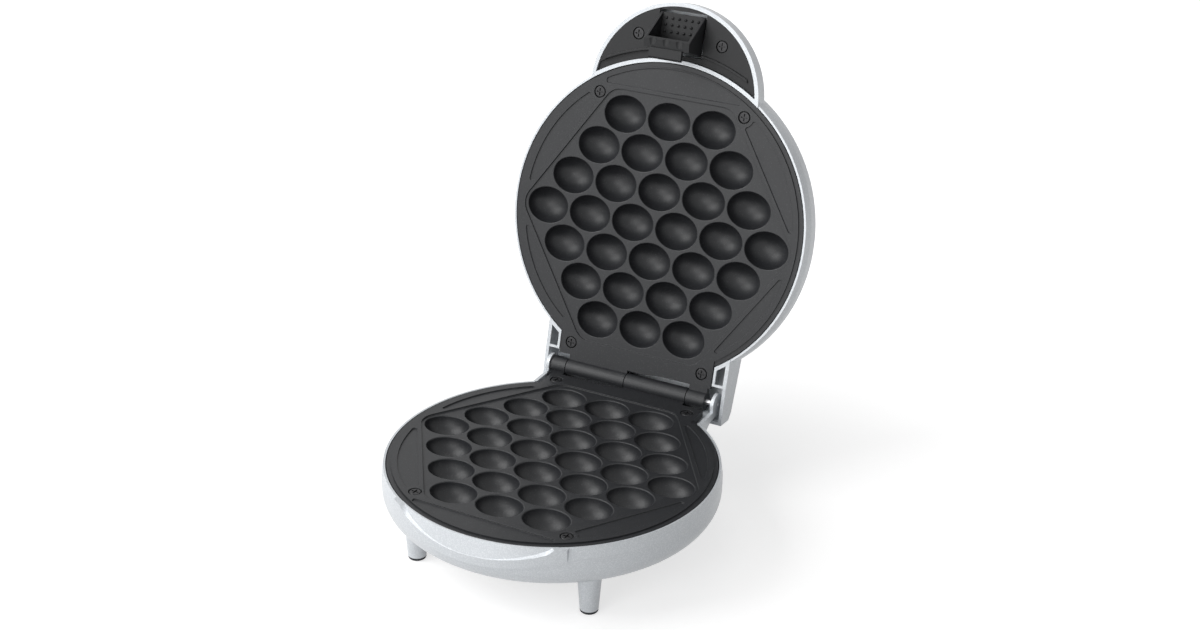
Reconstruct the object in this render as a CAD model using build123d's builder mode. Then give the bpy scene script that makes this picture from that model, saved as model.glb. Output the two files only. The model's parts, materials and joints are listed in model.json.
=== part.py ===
from build123d import *
from math import asin, atan2, cos, degrees, hypot, pi, radians, sin, sqrt
import os

os.makedirs("parts", exist_ok=True)

# Bubble waffle maker, lid open. Millimetres and degrees, +Z up, +X to the right, the front towards -Y.
# Both halves are drawn from the mating plane of their own baking plate: local x across, local y from the
# handle towards the hinge, local z out of the plate face, so each housing lies at negative local z.

# Where the halves stand
mate_height = 55.0
plate_center_y = -38.91
lid_opening = 104.4

# Baking plates
plate_radius = 100.0
plate_thickness = 4.8
plate_gap = 0.4
ledge_width = 2.8
ledge_depth = 0.9
tail_half_width = 54.5
tail_setback = 1.4
tail_end = plate_radius - tail_setback
cell_pitch = 0.3093 * plate_radius
row_pitch = 0.2255 * plate_radius
row_counts = (3, 4, 5, 6, 5, 4, 3)
field_shift = 0.0405 * plate_radius
cell_half_length = 0.145 * plate_radius
cell_half_width = 0.117 * plate_radius
cell_wall = 2.2
field_depth = 1.0
field_half_height = 0.83 * plate_radius
field_top_half_width = 0.414 * plate_radius
field_half_width = 0.963 * plate_radius
field_corner = 12.0
heater_radius = 3.2
heater_cover = 0.4
heater_drop = plate_gap / 2 + field_depth + cell_half_width + cell_wall + heater_cover + heater_radius
pocket_land = 2.7
pocket_depth = 0.8
pocket_corner = 1.2
pocket_rim = 3.6
front_pocket_radius = plate_radius - pocket_rim
front_pocket_half_width = 0.465 * plate_radius
side_pocket_step = 3.0
side_pocket_radius = front_pocket_radius - side_pocket_step
pocket_tip_front_y = -0.1 * plate_radius
pocket_tip_rear_y = 0.2 * plate_radius
pocket_rear_y = 0.75 * plate_radius
pocket_notch_radius = 6.4
lip_rounding = 0.6
step_rounding = 0.35
pocket_rounding = 0.25

# Plate screws
front_screw_x = 0.502 * plate_radius
front_screw_y = -0.75 * plate_radius
rear_screw_inset_x = 7.5
rear_screw_x = tail_half_width - rear_screw_inset_x
rear_screw_inset_y = 8.1
rear_screw_y = tail_end - rear_screw_inset_y
screw_radius = 1.5
front_screw_length = 12.0
rear_screw_length = 7.0
screw_head_radius = 3.5
screw_head_height = 1.8
cross_length = 4.6
cross_width = 0.9
cross_depth = 1.0
screw_seat_radius = 4.0
screw_seat_depth = 1.9
screw_clearance = 0.3
pilot_clearance = 0.05
pilot_spare = 0.5
post_radius = 4.2

# Hinge
hinge_reach = 7.5
hinge_back = plate_radius + hinge_reach
hinge_lift = 1.5
barrel_radius = 5.8
pin_radius = 2.0
pin_clearance = 0.05
knuckle_gap = 0.5
knuckle_ends = (-58.0, -47.0, -4.0, 40.0, 53.0)
web_thickness = 4.0

# Both housings
wall = 2.4
plate_clearance = 1.9
rim_radius = plate_radius + plate_clearance
rim_drop = 1.0
rim_step = 1.1
shell_radius = rim_radius + rim_step
draft_drop = 8.0
seat_clearance = 0.35
seat_gap = 0.1

# Base housing
base_room = 11.3
base_depth = heater_drop + base_room
base_corner = 15.0
ear_half_width = 60.5
ear_thickness = 2.2
ear_boss_radius = 7.0
ear_top_drop = 1.7
ear_root_y = 0.6 * plate_radius
floor_thickness = 1.7
floor_front_inset = 15.5
floor_front_y = plate_radius - floor_front_inset
floor_front_rise = 6.0
floor_front_drop = base_depth - floor_front_rise
floor_slope_length = 5.0
floor_bend_y = floor_front_y + floor_slope_length
floor_bend_drop = 12.5
floor_rear_length = 8.5
floor_rear_y = floor_bend_y + floor_rear_length
floor_rear_drop = 6.6
floor_end_drop = 6.3
scoop_half_width = 0.56 * plate_radius
scoop_depth = 11.0
scoop_rise = 0.65
scoop_corner = 11.0
scoop_reach = 45.0
scoop_edge_step = 0.9
scoop_top_radius = plate_radius + scoop_edge_step
scoop_foot_drop = 16.0
scoop_lean = 0.25
chin_stand_out = 1.0
chin_half_width = 0.57 * plate_radius
chin_side_drop = 8.3
chin_front_drop = 16.7

# Bottom cover
cover_radius = 0.72 * plate_radius
cover_thickness = 2.2
cover_clearance = 0.3
cover_lip_inside = 12.0
cover_lip_inner = cover_radius - cover_lip_inside
cover_lip_outside = 4.0
cover_lip_outer = cover_radius + cover_lip_outside
cover_screw_inset = 7.0
cover_screw_circle = cover_radius - cover_screw_inset
cover_screw_count = 4
cover_screw_length = 4.0
vent_count = 7
vent_pitch = 9.0
vent_length = 0.56 * plate_radius
vent_width = 3.0

# Legs
front_leg_x = 0.584 * plate_radius
front_leg_y = 0.62 * plate_radius
rear_leg_x = 0.44 * plate_radius
rear_leg_y = 0.78 * plate_radius
leg_top_radius = 7.8
leg_bottom_radius = 5.6
leg_blend_height = 30.0
leg_peg_radius = 3.5
leg_peg_height = 6.0
tip_height = 2.2
tip_rounding = 1.4
tip_plug_radius = 3.0
tip_plug_height = 4.0

# Lid housing
lid_wall_depth = 14.0
lid_corner = 9.0
lid_room = 21.3
lid_crown_depth = heater_drop + lid_room
lobe_radius = 58.0
lobe_inset = 22.6
lobe_center_y = lobe_inset - shell_radius
lobe_depth = 14.0
lobe_rounding = 4.0
lobe_rim_drop = 0.3
lobe_wall = 2.5
arm_half_width = 65.0
arm_wall = 2.2
arm_drop = 0.5
arm_rear_drop = 1.5
arm_root_depth = 23.0
arm_length = 26.7
arm_front_y = hinge_back - arm_length
arm_front_depth = 20.5
arm_shoulder_reach = 6.8
arm_shoulder_y = hinge_back + arm_shoulder_reach
arm_shoulder_depth = 16.2
arm_heel_length = 4.9
arm_heel_y = arm_shoulder_y + arm_heel_length
arm_heel_depth = 13.5
arm_end_length = 1.8
arm_end_y = arm_heel_y + arm_end_length
frame_sheet = 1.5
frame_inner_x = 55.3
frame_strip = 1.6
frame_length = 24.6
frame_front_y = tail_end - frame_length
frame_ring_depth = 4.0
window_outer_x = 62.6
window_inset = 6.0
window_front_y = frame_front_y + window_inset
frame_setback = 2.0
frame_rear_y = tail_end - frame_setback

# Handle panel on the underside of the lobe
panel_clearance = 0.3
panel_thickness = 2.2
panel_drop = 0.3
panel_inner_radius = shell_radius + panel_clearance
panel_groove_step = 4.6
panel_groove_radius = panel_inner_radius + panel_groove_step
panel_groove_drop = 2.0
panel_ridge_width = 1.8
panel_ridge_height = 1.0
panel_ridge_inset = 3.5
panel_ridge_rounding = 0.4
panel_screw_x = 28.7
panel_screw_reach = 35.1
panel_screw_y = lobe_center_y - panel_screw_reach
panel_screw_length = 7.0
panel_post_radius = 3.6

# Latch
latch_half_width = 15.4
latch_pivot_reach = 46.6
latch_pivot_y = lobe_center_y - latch_pivot_reach
latch_pivot_drop = 5.0
latch_pin_radius = 1.5
latch_barrel_radius = 3.2
latch_front_length = 4.3
latch_front_y = latch_pivot_y - latch_front_length
latch_back_length = 19.5
latch_back_y = latch_pivot_y + latch_back_length
latch_height = 20.0
latch_tip_fall = 1.0
latch_tip_front_inset = 7.5
latch_tip_front_y = latch_back_y - latch_tip_front_inset
latch_tip_back_inset = 2.3
latch_tip_back_y = latch_back_y - latch_tip_back_inset
latch_wall = 1.7
latch_rounding = 0.5
latch_floor = 1.5
latch_hook_clearance = 0.1
latch_hook_y = -(shell_radius + latch_hook_clearance)
latch_hook_half_width = 11.0
latch_hook_thickness = 2.4
latch_side_gap = 0.8
latch_end_gap = 1.8
lug_thickness = 2.5
lug_radius = 3.4
grip_rows = 3
grip_columns = 6
grip_row_pitch = 4.2
grip_column_pitch = 4.4
grip_inset = 3.2
grip_center_y = latch_pivot_y + grip_inset
grip_radius = 1.0
scallop_count = 3
scallop_radius = 3.8
scallop_depth = 1.2
scallop_pitch = 9.0
barrel_length = 8.0
spring_wire_radius = 0.4
spring_clearance = 0.15
spring_turns = 5
spring_pitch = 1.1

# Heaters, shields and controls
heater_ring = 0.67 * plate_radius
heater_terminal_x = 12.0
heater_end_y = 0.76 * plate_radius
heater_bend = 9.0
groove_clearance = 0.1
rib_width = 10.0
rib_end_rise = 1.7
rib_end_drop = heater_drop - rib_end_rise
insulator_radius = 4.6
insulator_length = 7.0
terminal_radius = 1.2
terminal_length = 4.0
shield_margin = 7.0
shield_radius = heater_ring + shield_margin
shield_thickness = 0.8
shield_rim = 3.0
shield_screw_radius = 1.4
shield_screw_length = 6.0
shield_head_radius = 2.8
shield_head_height = 1.4
boss_radius = 4.0
control_boss_rise = 2.7
control_boss_drop = heater_drop - control_boss_rise
thermostat_radius = 7.5
thermostat_height = 5.0
fuse_radius = 2.0
fuse_length = 13.0
block_width = 13.0
block_length = 8.0
block_height = 7.9
block_inset = 13.0
block_y = plate_radius - block_inset
block_foot_rise = 4.0
block_foot_drop = base_depth - block_foot_rise
gland_fall = 2.8
gland_drop = heater_drop + gland_fall
gland_radius = 4.4
gland_flange_radius = 6.4
gland_bore_radius = 3.0
gland_stand_out = 1.0
gland_flange_y = shell_radius + gland_stand_out
gland_length = 10.0
gland_inner_y = gland_flange_y - gland_length
gland_tail = 8.0
gland_outer_y = gland_flange_y + gland_tail
lamp_x = 10.0
lamp_y = -0.7 * plate_radius
lamp_radius = 4.0
lamp_stand_out = 0.9
board_length = 32.0
board_width = 12.0
board_thickness = 1.6
board_room = 7.1
board_drop = heater_drop + board_room
board_post_radius = 2.2
board_peg_radius = 1.2
lamp_flange_radius = 5.0
lamp_flange_thickness = 0.8

# How near to a level a face must lie to be taken as part of it
level_tolerance = 0.001

# Placing of the two halves
hinge_point = Vector(0, plate_center_y + hinge_back, mate_height + hinge_lift)
opened = radians(lid_opening)
lid_normal = Vector(0, -sin(opened), -cos(opened))
lid_to_hinge = Vector(0, cos(opened), -sin(opened))
lid_origin = hinge_point - lid_to_hinge * hinge_back + lid_normal * hinge_lift
base_face = Plane(origin=(0, plate_center_y, mate_height), x_dir=(1, 0, 0), z_dir=(0, 0, 1))
lid_face = Plane(origin=lid_origin, x_dir=(-1, 0, 0), z_dir=lid_normal)

# Heights that follow from the sizes above, along the local normal
plate_top = -plate_gap / 2
plate_back = plate_top - plate_thickness
cell_level = plate_top - field_depth
shield_top = -(heater_drop + heater_radius + seat_gap)
corner_x = shell_radius - lid_corner
crown_rise = lid_crown_depth - lid_wall_depth
dome_radius = (corner_x**2 + crown_rise**2 - lid_corner**2) / (2 * (crown_rise - lid_corner))

# Places that several pieces share
front_screws = [(side * front_screw_x, front_screw_y) for side in (-1, 1)]
rear_screws = [(side * rear_screw_x, rear_screw_y) for side in (-1, 1)]
shield_screws = [(step * cell_pitch, field_shift) for step in (-1, 0, 1)]
thermostat_spot = (0, field_shift + 2 * row_pitch)
fuse_spot = (0, field_shift - 2 * row_pitch)
panel_screws = [(side * panel_screw_x, panel_screw_y) for side in (-1, 1)]
legs = {
    "front_left": (-front_leg_x, -front_leg_y),
    "front_right": (front_leg_x, -front_leg_y),
    "rear_left": (-rear_leg_x, rear_leg_y),
    "rear_right": (rear_leg_x, rear_leg_y),
}
lamp_radius_from_axis = hypot(lamp_x, lamp_y)
lamp_dome_depth = lid_crown_depth - dome_radius + sqrt(dome_radius**2 - lamp_radius_from_axis**2)


def section(face):
    """Plane through the plate's axis: x outwards, y along the plate's normal."""
    return Plane(origin=face.origin, x_dir=face.x_dir, z_dir=-face.y_dir)


def side_view(face):
    """Plane across the hinge: x towards the hinge, y along the plate's normal."""
    return Plane(origin=face.origin, x_dir=face.y_dir, z_dir=face.x_dir)


def plate_axis(face):
    return Axis(face.origin, face.z_dir)


def level_faces(part, face, level):
    """Flat faces of the part that lie at one level along the plate's normal, the largest first."""

    def on_level(flat):
        apart = face.to_local_coords(flat.center()).Z - level
        return abs(apart) < level_tolerance and abs(flat.normal_at().dot(face.z_dir)) > 0.999

    flats = [flat for flat in part.faces().filter_by(GeomType.PLANE) if on_level(flat)]
    return sorted(flats, key=lambda flat: flat.area, reverse=True)


def rising_edges(part, face, rise):
    """Edges of the part whose two ends lie further apart than the given rise along the plate's normal."""
    return [edge for edge in part.edges() if abs((edge @ 1 - edge @ 0).dot(face.z_dir)) > rise]


def cell_spots():
    """Bowl centres in local x and y: seven rows, each set half a pitch from the next."""
    spots = []
    for row, count in enumerate(row_counts):
        y = field_shift + (row - (len(row_counts) - 1) / 2) * row_pitch
        spots += [((place - (count - 1) / 2) * cell_pitch, y) for place in range(count)]
    return spots


def field_outline(grow):
    """Corners of the hexagonal field, grown outwards by the given distance."""
    run = field_half_width - field_top_half_width
    edge = hypot(run, field_half_height)
    reach = field_half_width + grow * edge / field_half_height
    height = field_half_height + grow
    top = reach - height * run / field_half_height
    return [(top, height), (reach, 0), (top, -height), (-top, -height), (-reach, 0), (-top, height)]


def rounded_field(grow):
    with BuildSketch() as field:
        with Locations((0, field_shift)):
            Polygon(*field_outline(grow), align=None)
        fillet(field.vertices(), field_corner + grow)
    return field.sketch


def pockets():
    """Five shallow pockets between the field and the rim, drawn back from the front screws."""
    front_edge = field_shift - field_half_height - pocket_land
    land = rounded_field(pocket_land)
    with BuildSketch() as front_pocket:
        Circle(front_pocket_radius)
        with Locations((0, front_edge - plate_radius / 2)):
            Rectangle(2 * front_pocket_half_width, plate_radius, mode=Mode.INTERSECT)
    with BuildSketch() as shapes:
        Circle(side_pocket_radius)
        add(land, mode=Mode.SUBTRACT)
        with Locations(*front_screws):
            Circle(pocket_notch_radius, mode=Mode.SUBTRACT)
        with Locations((0, (pocket_tip_front_y + pocket_tip_rear_y) / 2)):
            Rectangle(2 * plate_radius, pocket_tip_rear_y - pocket_tip_front_y, mode=Mode.SUBTRACT)
        with Locations((0, pocket_rear_y + plate_radius / 2)):
            Rectangle(2 * pocket_rear_y, plate_radius, mode=Mode.SUBTRACT)
        with Locations((0, front_edge)):
            Rectangle(2 * front_screw_x, plate_radius, mode=Mode.SUBTRACT)
        add(front_pocket.sketch)
        fillet(shapes.vertices(), pocket_corner)
    return shapes.sketch


def half_bowl(half_length, half_width):
    """Lower half of a bowl that is longer along x, with its mouth at z = 0."""
    with BuildPart() as bowl:
        with BuildSketch(Plane.XY):
            Ellipse(half_length, half_width)
            with Locations((0, half_width)):
                Rectangle(4 * half_length, 2 * half_width, mode=Mode.SUBTRACT)
        revolve(axis=Axis.X)
        split(bisect_by=Plane.XY, keep=Keep.BOTTOM)
    return bowl.part


def heater_tube(face, tube_radius):
    """Tube bent into an open ring, its two ends turned side by side towards the hinge."""
    bend_x = heater_terminal_x + heater_bend
    bend_y = sqrt((heater_ring + heater_bend) ** 2 - bend_x**2)
    turn = degrees(atan2(bend_y, bend_x))
    with BuildPart() as tube:
        with BuildLine(face.offset(-heater_drop)) as route:
            Line((heater_terminal_x, heater_end_y), (heater_terminal_x, bend_y))
            CenterArc((bend_x, bend_y), heater_bend, 180, turn)
            CenterArc((0, 0), heater_ring, turn, -(180 + 2 * turn))
            CenterArc((-bend_x, bend_y), heater_bend, -turn, turn)
            Line((-heater_terminal_x, bend_y), (-heater_terminal_x, heater_end_y))
        start = face.offset(-heater_drop).from_local_coords((heater_terminal_x, heater_end_y, 0))
        with BuildSketch(Plane(origin=start, x_dir=face.x_dir, z_dir=-face.y_dir)):
            Circle(tube_radius)
        sweep(path=route.wire())
    return tube


def cast_plate(face, hinge_z, knuckles):
    """Baking plate with bowls, pockets, heater rib, bosses, screw seats and hinge knuckles."""
    mouth = half_bowl(cell_half_length, cell_half_width)
    back = half_bowl(cell_half_length + cell_wall, cell_half_width + cell_wall)
    groove = heater_tube(face, heater_radius + groove_clearance).part
    field = rounded_field(0)
    pocket_shapes = pockets()
    with BuildPart() as plate:
        with BuildSketch(face.offset(plate_top)):
            Circle(plate_radius)
            with Locations((0, tail_end / 2)):
                Rectangle(2 * tail_half_width, tail_end)
        extrude(amount=-plate_thickness)
        with Locations(face):
            with Locations(*[(x, y, cell_level) for x, y in cell_spots()]):
                add(back)
        with BuildSketch(face.offset(plate_back)):
            Circle(heater_ring + rib_width / 2)
            Circle(heater_ring - rib_width / 2, mode=Mode.SUBTRACT)
        extrude(amount=-(rib_end_drop + plate_back))
        with BuildSketch(face.offset(plate_back)):
            with Locations(*shield_screws):
                Circle(boss_radius)
        extrude(amount=-(plate_back - shield_top))
        with BuildSketch(face.offset(plate_back)):
            with Locations(thermostat_spot, fuse_spot):
                Circle(boss_radius)
        extrude(amount=-(control_boss_drop + plate_back))
        add(groove, mode=Mode.SUBTRACT)
        with BuildSketch(face.offset(plate_top)):
            Circle(plate_radius + 1)
            Circle(plate_radius - ledge_width, mode=Mode.SUBTRACT)
            with Locations((0, plate_radius)):
                Rectangle(2 * tail_half_width, plate_radius, mode=Mode.SUBTRACT)
        extrude(amount=-ledge_depth, mode=Mode.SUBTRACT)
        with BuildSketch(face.offset(plate_top)):
            add(field)
        extrude(amount=-field_depth, mode=Mode.SUBTRACT)
        with BuildSketch(face.offset(plate_top)):
            add(pocket_shapes)
        extrude(amount=-pocket_depth, mode=Mode.SUBTRACT)
        with Locations(face):
            with Locations(*[(x, y, cell_level) for x, y in cell_spots()]):
                add(mouth, mode=Mode.SUBTRACT)
        with BuildSketch(face.offset(plate_top)):
            with Locations(*front_screws, *rear_screws):
                Circle(screw_seat_radius)
        extrude(amount=-screw_seat_depth, mode=Mode.SUBTRACT)
        with BuildSketch(face.offset(plate_top)):
            with Locations(*front_screws, *rear_screws):
                Circle(screw_radius + screw_clearance)
        extrude(amount=-plate_thickness, mode=Mode.SUBTRACT)
        with BuildSketch(face.offset(shield_top)):
            with Locations(*shield_screws):
                Circle(shield_screw_radius + pilot_clearance)
        extrude(amount=shield_screw_length, mode=Mode.SUBTRACT)
        for start, stop in knuckles:
            with BuildSketch(side_view(face).offset(start + knuckle_gap / 2)):
                with Locations((hinge_back, hinge_z)):
                    Circle(barrel_radius)
                with Locations(((tail_end + hinge_back) / 2, plate_top - web_thickness / 2)):
                    Rectangle(hinge_back - tail_end + 2, web_thickness)
                with Locations((hinge_back, hinge_z)):
                    Circle(pin_radius + pin_clearance, mode=Mode.SUBTRACT)
            extrude(amount=stop - start - knuckle_gap)
        mouths = [wire.edges() for wire in level_faces(plate.part, face, cell_level)[0].inner_wires()]
        fillet([edge for edges in mouths for edge in edges], lip_rounding)
        fillet(level_faces(plate.part, face, cell_level)[0].outer_wire().edges(), step_rounding)
        pocket_floors = level_faces(plate.part, face, plate_top - pocket_depth)
        fillet([edge for floor in pocket_floors for edge in floor.outer_wire().edges()], pocket_rounding)
        brims = [wire.edges() for wire in level_faces(plate.part, face, plate_top)[0].inner_wires()]
        fillet([edge for edges in brims for edge in edges], pocket_rounding)
    return plate


def cross_screw(length, radius=screw_radius, head_radius=screw_head_radius, head_height=screw_head_height):
    """Cross-head screw: shank below z = 0, head above it."""
    with BuildPart() as screw:
        with BuildSketch(Plane.XY):
            Circle(radius)
        extrude(amount=-length)
        with BuildSketch(Plane.XY):
            Circle(head_radius)
        extrude(amount=head_height)
        fillet(screw.edges().filter_by(GeomType.CIRCLE).sort_by(Axis.Z)[-1], head_height / 3)
        with BuildSketch(Plane.XY.offset(head_height)):
            Rectangle(cross_length * head_radius / screw_head_radius, cross_width)
            Rectangle(cross_width, cross_length * head_radius / screw_head_radius)
        extrude(amount=-cross_depth, mode=Mode.SUBTRACT)
    return screw.part


def plate_screw_group(face):
    seat = plate_top - screw_seat_depth
    long_screw = cross_screw(front_screw_length)
    short_screw = cross_screw(rear_screw_length)
    with BuildPart(face) as group:
        with Locations(*[(x, y, seat) for x, y in front_screws]):
            add(long_screw)
        with Locations(*[(x, y, seat) for x, y in rear_screws]):
            add(short_screw)
    return group


def heater(face):
    """Sheathed heater with a ceramic-sealed pin at each end."""
    tube = heater_tube(face, heater_radius)
    tail_plane = Plane(
        origin=face.from_local_coords((0, heater_end_y, -heater_drop)), x_dir=face.x_dir, z_dir=face.y_dir
    )
    with BuildPart() as element:
        add(tube.part)
        with BuildSketch(tail_plane):
            with Locations((-heater_terminal_x, 0), (heater_terminal_x, 0)):
                Circle(terminal_radius)
        extrude(amount=insulator_length + terminal_length)
    return element


def insulators(face):
    tail_plane = Plane(
        origin=face.from_local_coords((0, heater_end_y, -heater_drop)), x_dir=face.x_dir, z_dir=face.y_dir
    )
    with BuildPart() as beads:
        with BuildSketch(tail_plane):
            with Locations((-heater_terminal_x, 0), (heater_terminal_x, 0)):
                Circle(insulator_radius)
                Circle(terminal_radius + pilot_clearance, mode=Mode.SUBTRACT)
        extrude(amount=insulator_length)
    return beads


def heat_shield(face):
    """Sheet dish between the heater and the housing."""
    with BuildPart() as shield:
        with BuildSketch(face.offset(shield_top - shield_thickness)):
            Circle(shield_radius)
        extrude(amount=shield_thickness + shield_rim)
        with BuildSketch(face.offset(shield_top)):
            Circle(shield_radius - shield_thickness)
            with Locations((0, shield_radius)):
                Rectangle(2 * (heater_terminal_x + insulator_radius), shield_radius)
        extrude(amount=2 * shield_rim, mode=Mode.SUBTRACT)
        with BuildSketch(face.offset(shield_top)):
            with Locations(*shield_screws):
                Circle(shield_screw_radius + screw_clearance)
        extrude(amount=-2 * shield_thickness, mode=Mode.SUBTRACT)
    return shield


def shield_screw_group(face):
    """Screws that hold the shield to the plate's bosses, driven from the housing side."""
    screw = cross_screw(shield_screw_length - pilot_spare, shield_screw_radius, shield_head_radius,
                        shield_head_height)
    upside_down = Plane(
        origin=face.from_local_coords((0, 0, shield_top - shield_thickness)),
        x_dir=face.x_dir,
        z_dir=-face.z_dir,
    )
    with BuildPart(upside_down) as group:
        with Locations(*[(x, -y, 0) for x, y in shield_screws]):
            add(screw)
    return group


def thermal_fuse(face):
    """Axial cutout under its boss on the plate."""
    x, y = fuse_spot
    with BuildPart() as fuse:
        start = face.from_local_coords((x - fuse_length / 2, y, -control_boss_drop - seat_gap - fuse_radius))
        with BuildSketch(Plane(origin=start, x_dir=face.y_dir, z_dir=face.x_dir)):
            Circle(fuse_radius)
        extrude(amount=fuse_length)
    return fuse


def plate_opening(face):
    """Room that a housing leaves for its plate and the plate's tail."""
    with BuildPart() as room:
        with BuildSketch(face.offset(plate_back - seat_gap)):
            Circle(plate_radius + seat_clearance)
            with Locations((0, (tail_end + seat_clearance) / 2)):
                Rectangle(2 * (tail_half_width + seat_clearance), tail_end + seat_clearance)
        extrude(amount=plate_thickness + draft_drop)
    return room.part


def plate_posts(face, housing):
    """Posts that carry the plate, one under each plate screw, ending in the housing's skin."""
    with BuildPart() as posts:
        with BuildSketch(face.offset(plate_back - seat_gap)):
            with Locations(*front_screws, *rear_screws):
                Circle(post_radius)
        extrude(amount=-base_depth)
        add(housing, mode=Mode.INTERSECT)
    return posts.part


def plate_pilots(face):
    """Pilot holes for the plate screws."""
    top = plate_top - screw_seat_depth
    with BuildPart() as holes:
        with BuildSketch(face.offset(top)):
            with Locations(*front_screws):
                Circle(screw_radius + pilot_clearance)
        extrude(amount=-(front_screw_length + pilot_spare))
        with BuildSketch(face.offset(top)):
            with Locations(*rear_screws):
                Circle(screw_radius + pilot_clearance)
        extrude(amount=-(rear_screw_length + pilot_spare))
    return holes.part


def base_disc(inset):
    """Round tub of the base, drawn in by the given distance."""
    side = shell_radius - inset
    corner = base_corner - inset
    center_x = shell_radius - base_corner
    slant = corner / sqrt(2)
    with BuildPart() as disc:
        with BuildSketch(section(base_face)):
            with BuildLine():
                if inset:
                    start = (0, rim_drop)
                    Polyline(start, (side, rim_drop), (side, -base_corner))
                else:
                    start = (0, -rim_drop)
                    Polyline(start, (rim_radius, -rim_drop), (side, -draft_drop), (side, -base_corner))
                ThreePointArc(
                    (side, -base_corner),
                    (center_x + slant, -base_corner - slant),
                    (center_x, -base_corner - corner),
                )
                Polyline((center_x, -base_corner - corner), (0, -base_corner - corner), start)
            make_face()
        revolve(axis=plate_axis(base_face))
    return disc.part


def base_rear_outline():
    """Outside of the hinge bracket of the base, seen from the side."""
    with BuildSketch() as outline:
        with BuildLine():
            Polyline(
                (ear_root_y, -floor_front_drop),
                (ear_root_y, -ear_top_drop),
                (hinge_back, -ear_top_drop),
                (hinge_back, -floor_end_drop),
                (floor_rear_y, -floor_rear_drop),
            )
            ThreePointArc(
                (floor_rear_y, -floor_rear_drop),
                (floor_bend_y, -floor_bend_drop),
                (floor_front_y, -floor_front_drop),
            )
            Line((floor_front_y, -floor_front_drop), (ear_root_y, -floor_front_drop))
        make_face()
    return outline.sketch


def scoop_core(grow):
    """What the scoop leaves standing: a wall under the plate's edge that leans out towards its foot."""
    top = scoop_top_radius - grow
    foot = top + scoop_lean * scoop_foot_drop
    with BuildPart() as core:
        with BuildSketch(section(base_face)):
            Polygon(
                (0, -grow),
                (top, -grow),
                (foot, -scoop_foot_drop - grow),
                (0, -scoop_foot_drop - grow),
                align=None,
            )
        revolve(axis=plate_axis(base_face))
    return core.part


def scoop_block(grow):
    """Slanted slab that hollows the front for the fingers, with the leaning wall left standing in it."""
    slope = Vector(0, -1, -scoop_rise).normalized()
    foot = Vector(0, plate_center_y - shell_radius, mate_height - scoop_depth)
    height = 2 * scoop_reach
    core = scoop_core(grow)
    with BuildPart() as block:
        with BuildSketch(Plane(origin=foot, x_dir=(1, 0, 0), z_dir=slope)) as outline:
            with Locations((0, height / 2 - grow)):
                Rectangle(2 * (scoop_half_width + grow), height)
            fillet(outline.vertices().group_by(Axis.Y)[0], scoop_corner + grow)
        extrude(amount=scoop_reach, both=True)
        add(core, mode=Mode.SUBTRACT)
    return block.part


def chin():
    """Raised border below the scoop; the latch hooks under its lower edge."""
    front = Plane(origin=base_face.origin, x_dir=(1, 0, 0), z_dir=(0, -1, 0))
    with BuildPart() as band:
        with BuildSketch(front):
            with BuildLine():
                Polyline(
                    (-chin_half_width, -chin_side_drop),
                    (-chin_half_width, -rim_drop),
                    (chin_half_width, -rim_drop),
                    (chin_half_width, -chin_side_drop),
                )
                ThreePointArc(
                    (chin_half_width, -chin_side_drop),
                    (0, -chin_front_drop),
                    (-chin_half_width, -chin_side_drop),
                )
            make_face()
        extrude(amount=shell_radius + 2 * chin_stand_out)
        with BuildSketch(base_face):
            Circle(shell_radius + chin_stand_out)
        extrude(amount=-base_depth, mode=Mode.INTERSECT)
    return band.part


# Base housing
bracket = base_rear_outline()
base_outside = base_disc(0)
base_inside = base_disc(wall)
base_keep_out = base_disc(-seat_gap)
chin_band = chin()
scoop = scoop_block(0)
grown_scoop = scoop_block(wall)
with BuildPart() as base_solid:
    add(base_outside)
    with BuildSketch(side_view(base_face)):
        add(bracket)
    extrude(amount=ear_half_width, both=True)
    with BuildSketch(side_view(base_face)):
        with Locations((hinge_back, hinge_lift)):
            Circle(ear_boss_radius)
    extrude(amount=ear_half_width, both=True)
    add(chin_band)
    add(scoop, mode=Mode.SUBTRACT)

ear_inner = ear_half_width - ear_thickness
with BuildPart() as base_hollow:
    with BuildSketch(side_view(base_face)):
        add(bracket)
        with Locations((0, floor_thickness)):
            add(bracket, mode=Mode.INTERSECT)
        with Locations((-floor_thickness, 0)):
            add(bracket, mode=Mode.INTERSECT)
    extrude(amount=ear_inner, both=True)
    with BuildSketch(side_view(base_face)):
        with Locations((ear_root_y, floor_thickness - floor_end_drop)):
            Rectangle(base_depth * 2, base_depth, align=(Align.MIN, Align.MIN))
    extrude(amount=ear_inner, both=True)
    add(base_inside)
    add(grown_scoop, mode=Mode.SUBTRACT)

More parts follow.
